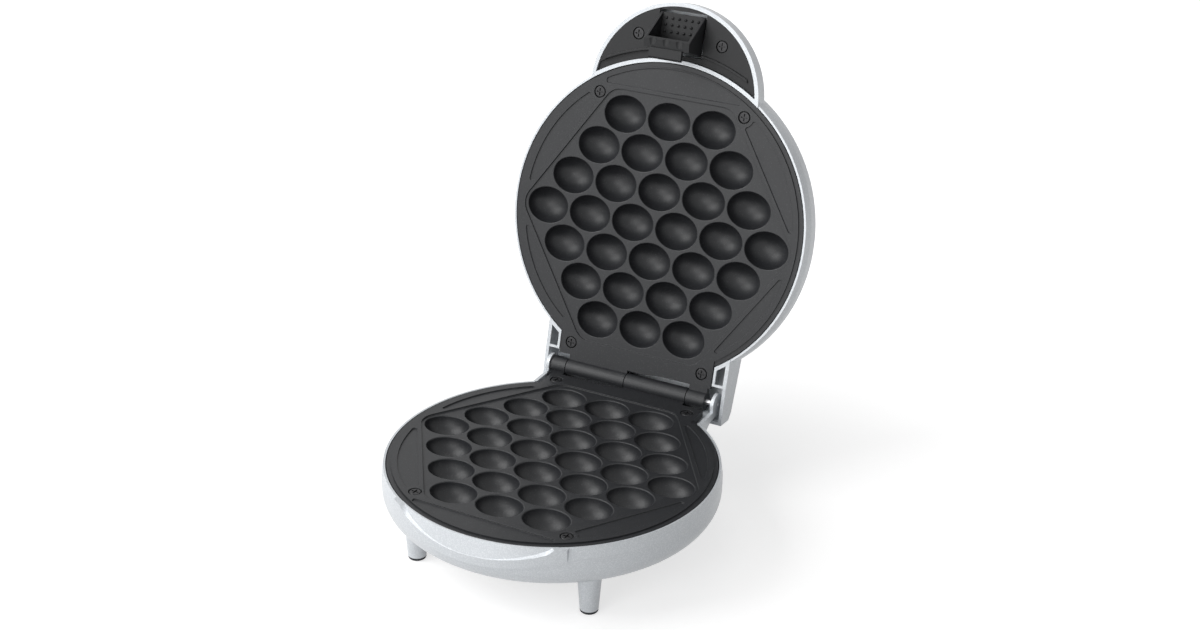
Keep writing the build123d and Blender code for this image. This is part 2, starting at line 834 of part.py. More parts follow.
base_posts = plate_posts(base_face, base_solid.part)
base_plate_room = plate_opening(base_face)
base_pilots = plate_pilots(base_face)
with BuildPart() as base_shell:
    add(base_solid.part)
    add(base_hollow.part, mode=Mode.SUBTRACT)
    add(base_posts)
    with BuildSketch(base_face.offset(-base_depth + wall)):
        Circle(cover_lip_outer)
        Circle(cover_lip_inner, mode=Mode.SUBTRACT)
    extrude(amount=wall)
    block_floor = base_face.from_local_coords((0, block_y, -base_depth + wall / 2))
    with BuildSketch(Plane(origin=block_floor, x_dir=(1, 0, 0), z_dir=(0, 0, 1))):
        Rectangle(block_width, block_length)
    extrude(amount=base_depth - wall / 2 - block_foot_drop)
    add(base_plate_room, mode=Mode.SUBTRACT)
    add(base_pilots, mode=Mode.SUBTRACT)
    with BuildSketch(base_face.offset(-base_depth)):
        Circle(cover_radius + cover_clearance)
    extrude(amount=wall, mode=Mode.SUBTRACT)
    with BuildSketch(base_face.offset(-base_depth)):
        with PolarLocations(cover_screw_circle, cover_screw_count, start_angle=45):
            Circle(screw_radius + pilot_clearance)
    extrude(amount=3 * wall, mode=Mode.SUBTRACT)
    with BuildSketch(base_face.offset(-base_depth)):
        with Locations(*legs.values()):
            Circle(leg_peg_radius + pilot_clearance)
    extrude(amount=2 * wall, mode=Mode.SUBTRACT)
    with BuildSketch(side_view(base_face)):
        with Locations((hinge_back, hinge_lift)):
            Circle(pin_radius + pin_clearance)
    extrude(amount=ear_half_width, both=True, mode=Mode.SUBTRACT)
    gland_origin = base_face.from_local_coords((0, gland_inner_y, -gland_drop))
    with BuildSketch(Plane(origin=gland_origin, x_dir=(1, 0, 0), z_dir=(0, 1, 0))):
        Circle(gland_radius + seat_gap)
    extrude(amount=gland_outer_y - gland_inner_y, mode=Mode.SUBTRACT)
base_shell.part.label = "base_shell"

# Bottom cover and its screws
with BuildPart() as base_cover:
    with BuildSketch(base_face.offset(-base_depth)):
        Circle(cover_radius)
        with PolarLocations(cover_screw_circle, cover_screw_count, start_angle=45):
            Circle(screw_radius + screw_clearance, mode=Mode.SUBTRACT)
        with GridLocations(0, vent_pitch, 1, vent_count):
            SlotOverall(vent_length, vent_width, mode=Mode.SUBTRACT)
    extrude(amount=cover_thickness)
base_cover.part.label = "base_cover"

cover_underside = Plane(
    origin=base_face.from_local_coords((0, 0, -base_depth)), x_dir=(1, 0, 0), z_dir=(0, 0, -1)
)
cover_screw = cross_screw(cover_screw_length, head_radius=shield_head_radius, head_height=shield_head_height)
with BuildPart(cover_underside) as base_cover_screws:
    with PolarLocations(cover_screw_circle, cover_screw_count, start_angle=45):
        add(cover_screw)
base_cover_screws.part.label = "base_cover_screws"

# Legs and their rubber tips
leg_parts = []
bottom_align = (Align.CENTER, Align.CENTER, Align.MIN)
for place, (x, y) in legs.items():
    foot_plane = Plane(origin=base_face.from_local_coords((x, y, tip_height - mate_height)))
    with BuildPart(foot_plane) as leg:
        Cone(leg_bottom_radius, leg_top_radius, leg_blend_height, align=bottom_align)
        add(base_keep_out.moved(foot_plane.location.inverse()), mode=Mode.SUBTRACT)
        with BuildSketch(foot_plane.offset(mate_height - base_depth - tip_height - seat_gap)):
            Circle(leg_peg_radius)
        extrude(amount=leg_peg_height)
        with BuildSketch(foot_plane):
            Circle(tip_plug_radius + pilot_clearance)
        extrude(amount=tip_plug_height + seat_gap, mode=Mode.SUBTRACT)
    leg.part.label = f"{place}_leg"
    with BuildPart(foot_plane) as tip:
        with BuildSketch(foot_plane):
            Circle(leg_bottom_radius - seat_gap)
        extrude(amount=-tip_height)
        fillet(tip.edges().sort_by(Axis.Z)[0], tip_rounding)
        with BuildSketch(foot_plane):
            Circle(tip_plug_radius)
        extrude(amount=tip_plug_height)
    tip.part.label = f"{place}_foot_tip"
    leg_parts += [leg, tip]

# Lower plate with its fastenings, heater and controls
base_knuckles = [(knuckle_ends[0], knuckle_ends[1]), (knuckle_ends[2], knuckle_ends[3])]
lid_knuckles = [(-knuckle_ends[2], -knuckle_ends[1]), (-knuckle_ends[4], -knuckle_ends[3])]
lower_plate = cast_plate(base_face, hinge_lift, base_knuckles)
lower_plate.part.label = "lower_plate"
lower_plate_screws = plate_screw_group(base_face)
lower_plate_screws.part.label = "lower_plate_screws"
lower_heater = heater(base_face)
lower_heater.part.label = "lower_heater"
lower_heater_insulators = insulators(base_face)
lower_heater_insulators.part.label = "lower_heater_insulators"
lower_heat_shield = heat_shield(base_face)
lower_heat_shield.part.label = "lower_heat_shield"
lower_shield_screws = shield_screw_group(base_face)
lower_shield_screws.part.label = "lower_shield_screws"
fuse = thermal_fuse(base_face)
fuse.part.label = "thermal_fuse"

with BuildPart() as thermostat:
    with BuildSketch(base_face.offset(-control_boss_drop - seat_gap)):
        with Locations(thermostat_spot):
            Circle(thermostat_radius)
    extrude(amount=-thermostat_height)
thermostat.part.label = "thermostat"

# Mains entry at the back of the base
with BuildPart() as terminal_block:
    block_seat = base_face.from_local_coords((0, block_y, -block_foot_drop + seat_gap))
    with BuildSketch(Plane(origin=block_seat, x_dir=(1, 0, 0), z_dir=(0, 0, 1))):
        Rectangle(block_width, block_length)
    extrude(amount=block_height)
    with BuildSketch(Plane(origin=block_seat, x_dir=(1, 0, 0), z_dir=(0, 0, 1)).offset(block_height)):
        with GridLocations(block_width / 2, 0, 2, 1):
            Circle(screw_radius)
    extrude(amount=-block_height / 2, mode=Mode.SUBTRACT)
terminal_block.part.label = "terminal_block"

with BuildPart() as cord_gland:
    gland_plane = Plane(origin=gland_origin, x_dir=(1, 0, 0), z_dir=(0, 1, 0))
    with BuildSketch(gland_plane):
        Circle(gland_flange_radius)
    extrude(amount=gland_flange_y - gland_inner_y)
    add(base_keep_out, mode=Mode.SUBTRACT)
    with BuildSketch(gland_plane):
        Circle(gland_radius)
    extrude(amount=gland_outer_y - gland_inner_y)
    with BuildSketch(gland_plane):
        Circle(gland_bore_radius)
    extrude(amount=gland_outer_y - gland_inner_y, mode=Mode.SUBTRACT)
cord_gland.part.label = "cord_gland"

with BuildPart() as hinge_pin:
    with BuildSketch(side_view(base_face)):
        with Locations((hinge_back, hinge_lift)):
            Circle(pin_radius)
    extrude(amount=ear_half_width - knuckle_gap, both=True)
hinge_pin.part.label = "hinge_pin"


def lid_disc(inset):
    """Domed disc of the lid, drawn in by the given distance."""
    side = shell_radius - inset
    corner = lid_corner - inset
    dome = dome_radius - inset
    dome_center = dome_radius - lid_crown_depth
    lean = asin(corner_x / (dome_radius - lid_corner))
    turn = pi / 2 - lean
    with BuildPart() as disc:
        with BuildSketch(section(lid_face)):
            with BuildLine():
                if inset:
                    edge = Polyline((0, rim_drop), (side, rim_drop), (side, -lid_wall_depth))
                else:
                    edge = Polyline(
                        (0, -rim_drop), (rim_radius, -rim_drop), (side, -draft_drop), (side, -lid_wall_depth)
                    )
                bend = ThreePointArc(
                    edge @ 1,
                    (corner_x + corner * cos(turn / 2), -lid_wall_depth - corner * sin(turn / 2)),
                    (corner_x + corner * cos(turn), -lid_wall_depth - corner * sin(turn)),
                )
                crown = ThreePointArc(
                    bend @ 1,
                    (dome * sin(lean / 2), dome_center - dome * cos(lean / 2)),
                    (0, dome_center - dome),
                )
                Line(crown @ 1, edge @ 0)
            make_face()
        revolve(axis=plate_axis(lid_face))
    return disc.part


def lobe_disc(inset):
    """Round tray of the handle, drawn in by the given distance."""
    center = lid_face.from_local_coords((0, lobe_center_y, 0))
    side = lobe_radius - inset
    corner = lobe_rounding - inset
    corner_reach = lobe_radius - lobe_rounding
    corner_drop = lobe_depth - lobe_rounding
    slant = corner / sqrt(2)
    top = rim_drop if inset else -lobe_rim_drop
    with BuildPart() as disc:
        with BuildSketch(Plane(origin=center, x_dir=lid_face.x_dir, z_dir=-lid_face.y_dir)):
            with BuildLine():
                edge = Polyline((0, top), (side, top), (side, -corner_drop))
                bend = ThreePointArc(
                    edge @ 1,
                    (corner_reach + slant, -corner_drop - slant),
                    (corner_reach, -corner_drop - corner),
                )
                Polyline(bend @ 1, (0, -corner_drop - corner), (0, top))
            make_face()
        revolve(axis=Axis(center, lid_face.z_dir))
    return disc.part


def arm_outline():
    """Outside of the hinge arms of the lid, seen from the side."""
    with BuildSketch() as outline:
        Polygon(
            (ear_root_y, -arm_root_depth),
            (ear_root_y, -arm_drop),
            (frame_rear_y, -arm_drop),
            (arm_end_y, -arm_rear_drop),
            (arm_heel_y, -arm_heel_depth),
            (arm_shoulder_y, -arm_shoulder_depth),
            (arm_front_y, -arm_front_depth),
            align=None,
        )
    return outline.sketch


# Lid housing
arms = arm_outline()
lid_outside = lid_disc(0)
lid_inside = lid_disc(wall)
lobe_outside = lobe_disc(0)
lobe_inside = lobe_disc(lobe_wall)
with BuildPart() as lid_solid:
    add(lid_outside)
    add(lobe_outside)
    with BuildSketch(side_view(lid_face)):
        add(arms)
    extrude(amount=arm_half_width, both=True)

with BuildPart() as lobe_hollow:
    add(lobe_inside)
    add(lid_outside, mode=Mode.SUBTRACT)
    with BuildSketch(lid_face.offset(-rim_drop)):
        Circle(shell_radius)
    extrude(amount=2 * rim_drop + 1, mode=Mode.SUBTRACT)

arm_inner = arm_half_width - arm_wall
with BuildPart() as arm_hollow:
    with BuildSketch(side_view(lid_face)):
        add(arms)
        with Locations((0, arm_wall)):
            add(arms, mode=Mode.INTERSECT)
        with Locations((-arm_wall, 0)):
            add(arms, mode=Mode.INTERSECT)
        with Locations((ear_root_y, -frame_ring_depth)):
            Rectangle(arm_end_y - arm_wall - ear_root_y, 2 * frame_ring_depth, align=(Align.MIN, Align.MIN))
    extrude(amount=arm_inner, both=True)
    with BuildSketch(lid_face.offset(-frame_ring_depth)):
        Circle(shell_radius)
        Circle(shell_radius - wall, mode=Mode.SUBTRACT)
        Rectangle(2 * frame_inner_x, 3 * shell_radius, mode=Mode.SUBTRACT)
    extrude(amount=3 * frame_ring_depth, mode=Mode.SUBTRACT)

frame_width = arm_inner - frame_inner_x + arm_wall / 2
window_inner_x = frame_inner_x + frame_strip
window_rear_y = frame_rear_y - frame_strip
lid_posts = plate_posts(lid_face, lid_solid.part)
lid_plate_room = plate_opening(lid_face)
lid_pilots = plate_pilots(lid_face)
with BuildPart() as lid_shell:
    add(lid_solid.part)
    add(lid_inside, mode=Mode.SUBTRACT)
    add(lobe_hollow.part, mode=Mode.SUBTRACT)
    add(arm_hollow.part, mode=Mode.SUBTRACT)
    add(lid_posts)
    with BuildSketch(lid_face.offset(-arm_drop)):
        with GridLocations(2 * frame_inner_x + frame_width, 0, 2, 1):
            with Locations((0, (frame_front_y + frame_rear_y) / 2)):
                Rectangle(frame_width, frame_rear_y - frame_front_y)
        with GridLocations(window_inner_x + window_outer_x, 0, 2, 1):
            with Locations((0, (window_front_y + window_rear_y) / 2)):
                Rectangle(window_outer_x - window_inner_x, window_rear_y - window_front_y, mode=Mode.SUBTRACT)
        Circle(rim_radius, mode=Mode.SUBTRACT)
    extrude(amount=-frame_sheet)
    with BuildSketch(lid_face.offset(-lobe_depth + lobe_wall)):
        with Locations(*panel_screws):
            Circle(panel_post_radius)
    extrude(amount=lobe_depth - lobe_wall - panel_drop - 2 * panel_thickness - seat_gap)
    add(lid_plate_room, mode=Mode.SUBTRACT)
    add(lid_pilots, mode=Mode.SUBTRACT)
    with BuildSketch(lid_face):
        with Locations(*panel_screws):
            Circle(screw_radius + pilot_clearance)
    extrude(amount=-(panel_drop + screw_seat_depth + panel_screw_length + pilot_spare), mode=Mode.SUBTRACT)
    with BuildSketch(lid_face.offset(-board_drop)):
        with Locations((-lamp_x, lamp_y), (lamp_x, lamp_y)):
            Circle(lamp_radius + seat_gap)
    extrude(amount=-lid_crown_depth, mode=Mode.SUBTRACT)
    with BuildSketch(lid_face.offset(-board_drop - seat_gap)):
        with Locations((0, lamp_y)):
            Circle(board_post_radius)
    extrude(amount=-(lamp_dome_depth - board_drop - wall / 2))
    with BuildSketch(lid_face.offset(-board_drop - seat_gap)):
        with Locations((0, lamp_y)):
            Circle(board_peg_radius)
    extrude(amount=board_thickness + seat_gap)
lid_shell.part.label = "lid_shell"

# Upper plate with its fastenings and heater
upper_plate = cast_plate(lid_face, -hinge_lift, lid_knuckles)
upper_plate.part.label = "upper_plate"
upper_plate_screws = plate_screw_group(lid_face)
upper_plate_screws.part.label = "upper_plate_screws"
upper_heater = heater(lid_face)
upper_heater.part.label = "upper_heater"
upper_heater_insulators = insulators(lid_face)
upper_heater_insulators.part.label = "upper_heater_insulators"
upper_heat_shield = heat_shield(lid_face)
upper_heat_shield.part.label = "upper_heat_shield"
upper_shield_screws = shield_screw_group(lid_face)
upper_shield_screws.part.label = "upper_shield_screws"

# Handle panel with the latch opening, its lugs and the screw seats
panel_radius = lobe_radius - lobe_wall - panel_clearance
opening_half_width = latch_half_width + latch_side_gap
opening_front_y = latch_front_y - latch_end_gap
opening_back_y = latch_back_y + latch_end_gap
pivot_spot = (latch_pivot_y, -latch_pivot_drop)
with BuildPart() as handle_panel:
    with BuildSketch(lid_face.offset(-panel_drop)):
        with Locations((0, lobe_center_y)):
            Circle(panel_radius)
        Circle(panel_groove_radius, mode=Mode.SUBTRACT)
    extrude(amount=-panel_thickness)
    with BuildSketch(lid_face.offset(-panel_drop - panel_groove_drop)):
        with Locations((0, lobe_center_y)):
            Circle(panel_radius)
        Circle(panel_groove_radius + panel_thickness, mode=Mode.INTERSECT)
        Circle(panel_inner_radius, mode=Mode.SUBTRACT)
    extrude(amount=-panel_thickness)
    with BuildSketch(lid_face.offset(-panel_drop)):
        with Locations((0, lobe_center_y)):
            Circle(panel_radius - panel_ridge_inset)
        Circle(panel_groove_radius + panel_ridge_width, mode=Mode.INTERSECT)
        Circle(panel_groove_radius, mode=Mode.SUBTRACT)
    extrude(amount=panel_ridge_height)
    ridge_top = level_faces(handle_panel.part, lid_face, panel_ridge_height - panel_drop)[0]
    fillet(ridge_top.edges(), panel_ridge_rounding)
    with BuildSketch(lid_face.offset(-panel_drop - panel_thickness)):
        with Locations(*panel_screws):
            Circle(screw_seat_radius + screw_radius)
    extrude(amount=-panel_thickness)
    lug_gap = opening_half_width + seat_gap
    for side in (-1, 1):
        with BuildSketch(side_view(lid_face).offset(side * (lug_gap + lug_thickness / 2))):
            with Locations(pivot_spot):
                Circle(lug_radius)
            with Locations((latch_pivot_y, -panel_drop - panel_thickness / 2)):
                Rectangle(2 * lug_radius, latch_pivot_drop - panel_drop - panel_thickness / 2,
                          align=(Align.CENTER, Align.MAX))
            with Locations(pivot_spot):
                Circle(latch_pin_radius + pilot_clearance, mode=Mode.SUBTRACT)
        extrude(amount=lug_thickness / 2, both=True)
    with BuildSketch(lid_face.offset(panel_ridge_height)):
        with Locations((0, (opening_front_y + opening_back_y) / 2)):
            Rectangle(2 * opening_half_width, opening_back_y - opening_front_y)
    extrude(amount=-2 * latch_pivot_drop, mode=Mode.SUBTRACT)
    with BuildSketch(lid_face.offset(-panel_drop)):
        with Locations(*panel_screws):
            Circle(screw_seat_radius)
    extrude(amount=-screw_seat_depth, mode=Mode.SUBTRACT)
    with BuildSketch(lid_face.offset(-panel_drop)):
        with Locations(*panel_screws):
            Circle(screw_radius + screw_clearance)
    extrude(amount=-3 * panel_thickness, mode=Mode.SUBTRACT)
handle_panel.part.label = "handle_panel"

panel_screw = cross_screw(panel_screw_length)
with BuildPart(lid_face) as handle_panel_screws:
    with Locations(*[(x, y, -panel_drop - screw_seat_depth) for x, y in panel_screws]):
        add(panel_screw)
handle_panel_screws.part.label = "handle_panel_screws"

# Latch: a hollow wedge with a hook, swinging on a sprung pin
with BuildPart() as latch_hollow:
    with BuildSketch(side_view(lid_face)):
        Polygon(
            (latch_front_y - latch_wall, 0),
            (latch_back_y - latch_wall, 0),
            (latch_tip_back_y - latch_wall, latch_height - latch_tip_fall - latch_wall),
            (latch_tip_front_y - latch_wall, latch_height - latch_wall),
            (latch_front_y - latch_wall, latch_height - latch_wall),
            align=None,
        )
    extrude(amount=latch_half_width - latch_wall, both=True)
    fillet(rising_edges(latch_hollow.part, lid_face, latch_height / 2), latch_rounding)

with BuildPart() as latch_lever:
    with BuildSketch(side_view(lid_face)):
        Polygon(
            (latch_front_y, -latch_floor),
            (latch_front_y, 0),
            (latch_tip_front_y, latch_height),
            (latch_tip_back_y, latch_height - latch_tip_fall),
            (latch_back_y, 0),
            (latch_back_y, -latch_floor),
            align=None,
        )
    extrude(amount=latch_half_width, both=True)
    fillet(rising_edges(latch_lever.part, lid_face, latch_height / 2), latch_rounding)
    add(latch_hollow.part, mode=Mode.SUBTRACT)
    hook_top = latch_height - seat_gap
    hook_root_y = latch_tip_back_y - seat_gap
    with BuildSketch(side_view(lid_face)):
        Polygon(
            (hook_root_y, hook_top - latch_hook_thickness),
            (latch_hook_y, hook_top - latch_hook_thickness),
            (latch_hook_y, hook_top - latch_hook_thickness / 2),
            (latch_hook_y - latch_hook_thickness / 2, hook_top),
            (hook_root_y, hook_top),
            align=None,
        )
    extrude(amount=latch_hook_half_width, both=True)
    for side in (-1, 1):
        with BuildSketch(side_view(lid_face).offset(side * (latch_half_width - barrel_length / 2))):
            with Locations(pivot_spot):
                Circle(latch_barrel_radius)
            with Locations((latch_pivot_y, -latch_floor / 2)):
                Rectangle(2 * latch_barrel_radius, latch_pivot_drop - latch_floor / 2,
                          align=(Align.CENTER, Align.MAX))
            with Locations(pivot_spot):
                Circle(latch_pin_radius + pin_clearance, mode=Mode.SUBTRACT)
        extrude(amount=barrel_length / 2, both=True)
    with BuildSketch(section(lid_face).offset(-latch_tip_front_y + scallop_radius)):
        with Locations((0, latch_height + scallop_radius - scallop_depth)):
            with GridLocations(scallop_pitch, 0, scallop_count, 1):
                Circle(scallop_radius)
    extrude(amount=-2 * scallop_radius, mode=Mode.SUBTRACT)
    with Locations(lid_face):
        with Locations((0, grip_center_y)):
            with GridLocations(grip_column_pitch, grip_row_pitch, grip_columns, grip_rows):
                Sphere(grip_radius)
latch_lever.part.label = "latch_lever"

with BuildPart() as latch_pin:
    with BuildSketch(side_view(lid_face)):
        with Locations(pivot_spot):
            Circle(latch_pin_radius)
    extrude(amount=lug_gap + lug_thickness, both=True)
latch_pin.part.label = "latch_pin"

spring_radius = latch_pin_radius + spring_clearance + spring_wire_radius
spring_length = spring_turns * spring_pitch
spring_start = lid_face.from_local_coords((-spring_length / 2, latch_pivot_y, -latch_pivot_drop))
with BuildPart() as latch_spring:
    with BuildLine():
        coil = Helix(
            spring_pitch, spring_length, spring_radius, center=spring_start, direction=lid_face.x_dir
        )
    with BuildSketch(Plane(origin=coil @ 0, z_dir=coil % 0)):
        Circle(spring_wire_radius)
    sweep(path=coil)
latch_spring.part.label = "latch_spring"

# Lamps and their board under the lid's dome
lamps = []
for name, x in (("power_lamp_lens", -lamp_x), ("ready_lamp_lens", lamp_x)):
    with BuildPart() as lens:
        with BuildSketch(lid_face.offset(-board_drop - seat_gap)):
            with Locations((x, lamp_y)):
                Circle(lamp_radius)
        extrude(amount=-(lamp_dome_depth + lamp_stand_out - board_drop - seat_gap))
        fillet(lens.edges().sort_by(-plate_axis(lid_face))[-1:], lamp_stand_out / 2)
        with BuildSketch(lid_face.offset(-board_drop - seat_gap)):
            with Locations((x, lamp_y)):
                Circle(lamp_flange_radius)
        extrude(amount=-lamp_flange_thickness)
    lens.part.label = name
    lamps.append(lens)

with BuildPart() as lamp_board:
    with BuildSketch(lid_face.offset(-board_drop)):
        with Locations((0, lamp_y)):
            Rectangle(board_length, board_width)
            Circle(board_peg_radius + pilot_clearance, mode=Mode.SUBTRACT)
    extrude(amount=board_thickness)
lamp_board.part.label = "lamp_board"

for piece in [
    base_shell,
    base_cover,
    base_cover_screws,
    *leg_parts,
    lower_plate,
    lower_plate_screws,
    lower_heater,
    lower_heater_insulators,
    lower_heat_shield,
    lower_shield_screws,
    fuse,
    thermostat,
    terminal_block,
    cord_gland,
    hinge_pin,
    lid_shell,
    upper_plate,
    upper_plate_screws,
    upper_heater,
    upper_heater_insulators,
    upper_heat_shield,
    upper_shield_screws,
    handle_panel,
    handle_panel_screws,
    latch_lever,
    latch_pin,
    latch_spring,
    *lamps,
    lamp_board,
]:
    export_step(piece.part, f"parts/{piece.part.label}.step")
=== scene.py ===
"""Bubble waffle maker: looks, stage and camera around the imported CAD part."""

import json
import math

import bpy
from bpy.props import FloatProperty, FloatVectorProperty, PointerProperty
from mathutils import Euler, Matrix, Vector

bl_info = {
    "name": "Bubble Waffle Maker",
    "version": (1, 0, 0),
    "blender": (4, 5, 0),
    "location": "View3D > Sidebar > Waffle Maker",
    "description": "Builds the visible pieces and finishes of an open bubble waffle maker",
    "category": "Object",
}

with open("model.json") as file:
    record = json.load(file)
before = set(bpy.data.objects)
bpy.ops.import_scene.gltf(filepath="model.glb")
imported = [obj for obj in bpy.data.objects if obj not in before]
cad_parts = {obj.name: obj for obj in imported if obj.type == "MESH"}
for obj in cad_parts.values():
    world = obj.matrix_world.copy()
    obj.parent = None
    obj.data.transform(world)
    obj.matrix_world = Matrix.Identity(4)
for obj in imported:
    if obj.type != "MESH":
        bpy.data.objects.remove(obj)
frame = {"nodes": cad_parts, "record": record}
NODES = frame["nodes"]
SLOT_OF = {part["node"]: part["material_slot"] for part in frame["record"]["subparts"]}
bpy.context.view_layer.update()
MM = 0.001

# Camera: place in metres, turn in degrees
CAMERA_PLACE = (0.46707, -0.89679, 0.60841)
CAMERA_TURN = (64.837, -1.014, 27.465)
LENS_MM = 55.61
SENSOR_MM = 36.0
CLIP_START, CLIP_END = 0.01, 50.0

# Floor: its glow to the camera grows with the distance from the object, so the lower glow near the
# object paints a grey shade on the floor round it, on top of the shadow that it casts
WHITE = (1.0, 1.0, 1.0, 1.0)
FLOOR_HALF = 6.0
FLOOR_SHADE = (0.55, 0.55, 0.55, 1.0)
# painted shade: the near glow is lower, so the floor round the object is greyer whatever the lamps
# do
NEAR_GLOW, FAR_GLOW = 0.67, 0.98
NEAR_REACH, FAR_REACH = 0.12, 0.48

# Light: name, place, size in metres and power in watts of each lamp
WORLD_LIGHT = 0.22
LAMP_TARGET = (0.0, 0.0, 0.13)
LAMPS = (
    ("KeyLight", (-1.6, -1.1, 1.6), 1.6, 40.0),
    ("FrontLight", (-0.3, -2.2, 0.9), 1.4, 19.0),
    ("TopLight", (-0.4, 0.3, 2.4), 1.2, 4.0),
)

# Surface patterns
STREAK_SCALE = (1.0, 0.25, 0.6)
STREAK_TURN = (0.3, 0.5, 0.7)
MARK_FLOOR = 0.52
MARK_CONTRAST = 4.0
MEAN_NOISE = 0.5

FINISHES = {}


class WaffleSizes(bpy.types.PropertyGroup):
    """Sizes that a user may change."""

    flake_pitch: FloatProperty(
        name="Flake pitch",
        description="Distance between the metal flakes in the housing's lacquer",
        default=0.45 * MM,
        min=0.1 * MM,
        max=2.0 * MM,
        unit="LENGTH",
    )
    lacquer_ripple: FloatProperty(
        name="Lacquer ripple",
        description="Height of the fine ripple in the housing's lacquer",
        default=0.012 * MM,
        min=0.0,
        max=0.2 * MM,
        unit="LENGTH",
    )
    coating_grain: FloatProperty(
        name="Coating grain",
        description="Height of the grain in the non-stick coating",
        default=0.02 * MM,
        min=0.0,
        max=0.2 * MM,
        unit="LENGTH",
    )
    plastic_grain: FloatProperty(
        name="Plastic grain",
        description="Height of the moulded grain on the black plastic pieces",
        default=0.03 * MM,
        min=0.0,
        max=0.2 * MM,
        unit="LENGTH",
    )


class WaffleColours(bpy.types.PropertyGroup):
    """Colours that a user may change."""

    pearl: FloatVectorProperty(
        name="Housing",
        description="Pearl silver of the housings and legs",
        default=(0.62, 0.65, 0.68),
        size=3,
        min=0,
        max=1,
        subtype="COLOR",
    )
    coating: FloatVectorProperty(
        name="Coating",
        description="Non-stick coating of the baking plates",
        default=(0.0165, 0.0175, 0.0198),
        size=3,
        min=0,
        max=1,
        subtype="COLOR",
    )
    plastic: FloatVectorProperty(
        name="Black plastic",
        description="Handle panel, latch and bottom cover",
        default=(0.013, 0.0135, 0.0147),
        size=3,
        min=0,
        max=1,
        subtype="COLOR",
    )
    rubber: FloatVectorProperty(
        name="Rubber",
        description="Tips of the legs and the cord grommet",
        default=(0.045, 0.048, 0.052),
        size=3,
        min=0,
        max=1,
        subtype="COLOR",
    )


# Shared node groups


def new_group(name, inputs, outputs):
    """Empty shader group with number inputs {name: default} and outputs {name: socket type}."""
    group = bpy.data.node_groups.new(name, "ShaderNodeTree")
    for label, default in inputs.items():
        socket = group.interface.new_socket(label, in_out="INPUT", socket_type="NodeSocketFloat")
        socket.default_value = default
    for label, kind in outputs.items():
        group.interface.new_socket(label, in_out="OUTPUT", socket_type=kind)
    return group, group.nodes.new("NodeGroupInput"), group.nodes.new("NodeGroupOutput")


def math_node(tree, operation, first, second):
    """Result of a Math node on two values, each a number or another node's output."""
    node = tree.nodes.new("ShaderNodeMath")
    node.operation = operation
    for socket, value in zip(node.inputs, (first, second)):
        if isinstance(value, (int, float)):
            socket.default_value = value
        else:
            tree.links.new(value, socket)
    return node.outputs[0]


def grain_group():
    """Fine moulded grain: a height for bump and a value that wanders slowly over the piece."""
    group, source, sink = new_group(
        "SurfaceGrain",
        {"Per metre": 1500.0, "Drift per metre": 14.0},
        {"Height": "NodeSocketFloat", "Drift": "NodeSocketFloat"},
    )
    place = group.nodes.new("ShaderNodeTexCoord")
    fine = group.nodes.new("ShaderNodeTexNoise")
    fine.inputs["Detail"].default_value = 3.0
    fine.inputs["Roughness"].default_value = 0.55
    slow = group.nodes.new("ShaderNodeTexNoise")
    slow.inputs["Detail"].default_value = 4.0
    slow.inputs["Distortion"].default_value = 0.4
    for texture, rate in ((fine, "Per metre"), (slow, "Drift per metre")):
        group.links.new(place.outputs["Object"], texture.inputs["Vector"])
        group.links.new(source.outputs[rate], texture.inputs["Scale"])
    group.links.new(fine.outputs["Fac"], sink.inputs["Height"])
    group.links.new(slow.outputs["Fac"], sink.inputs["Drift"])
    return group


def fleck_group():
    """Flecks, each of its own brightness: metal flakes in lacquer or grains in a coating."""
    group, source, sink = new_group(
        "Flecks", {"Per metre": 2600.0, "Share": 0.5}, {"Fleck": "NodeSocketFloat"}
    )
    place = group.nodes.new("ShaderNodeTexCoord")
    cells = group.nodes.new("ShaderNodeTexVoronoi")
    cells.feature = "F1"
    group.links.new(place.outputs["Object"], cells.inputs["Vector"])
    group.links.new(source.outputs["Per metre"], cells.inputs["Scale"])
    split = group.nodes.new("ShaderNodeSeparateColor")
    group.links.new(cells.outputs["Color"], split.inputs["Color"])
    chosen = math_node(group, "LESS_THAN", split.outputs["Green"], source.outputs["Share"])
    shade = math_node(group, "MULTIPLY", split.outputs["Red"], chosen)
    group.links.new(shade, sink.inputs["Fleck"])
    return group


def wear_group():
    """Faint handling marks: thin streaks that break up the gloss."""
    group, source, sink = new_group(
        "HandlingMarks", {"Per metre": 60.0, "Amount": 0.5}, {"Mark": "NodeSocketFloat"}
    )
    place = group.nodes.new("ShaderNodeTexCoord")
    stretch = group.nodes.new("ShaderNodeMapping")
    stretch.inputs["Scale"].default_value = STREAK_SCALE
    stretch.inputs["Rotation"].default_value = STREAK_TURN
    smear = group.nodes.new("ShaderNodeTexNoise")
    smear.inputs["Detail"].default_value = 6.0
    smear.inputs["Roughness"].default_value = 0.7
    smear.inputs["Distortion"].default_value = 1.2
    group.links.new(place.outputs["Object"], stretch.inputs["Vector"])
    group.links.new(stretch.outputs["Vector"], smear.inputs["Vector"])
    group.links.new(source.outputs["Per metre"], smear.inputs["Scale"])
    above = math_node(group, "SUBTRACT", smear.outputs["Fac"], MARK_FLOOR)
    spread = math_node(group, "MULTIPLY", above, MARK_CONTRAST)
    limited = group.nodes.new("ShaderNodeClamp")
    group.links.new(spread, limited.inputs["Value"])
    scaled = math_node(group, "MULTIPLY", limited.outputs["Result"], source.outputs["Amount"])
    group.links.new(scaled, sink.inputs["Mark"])
    return group


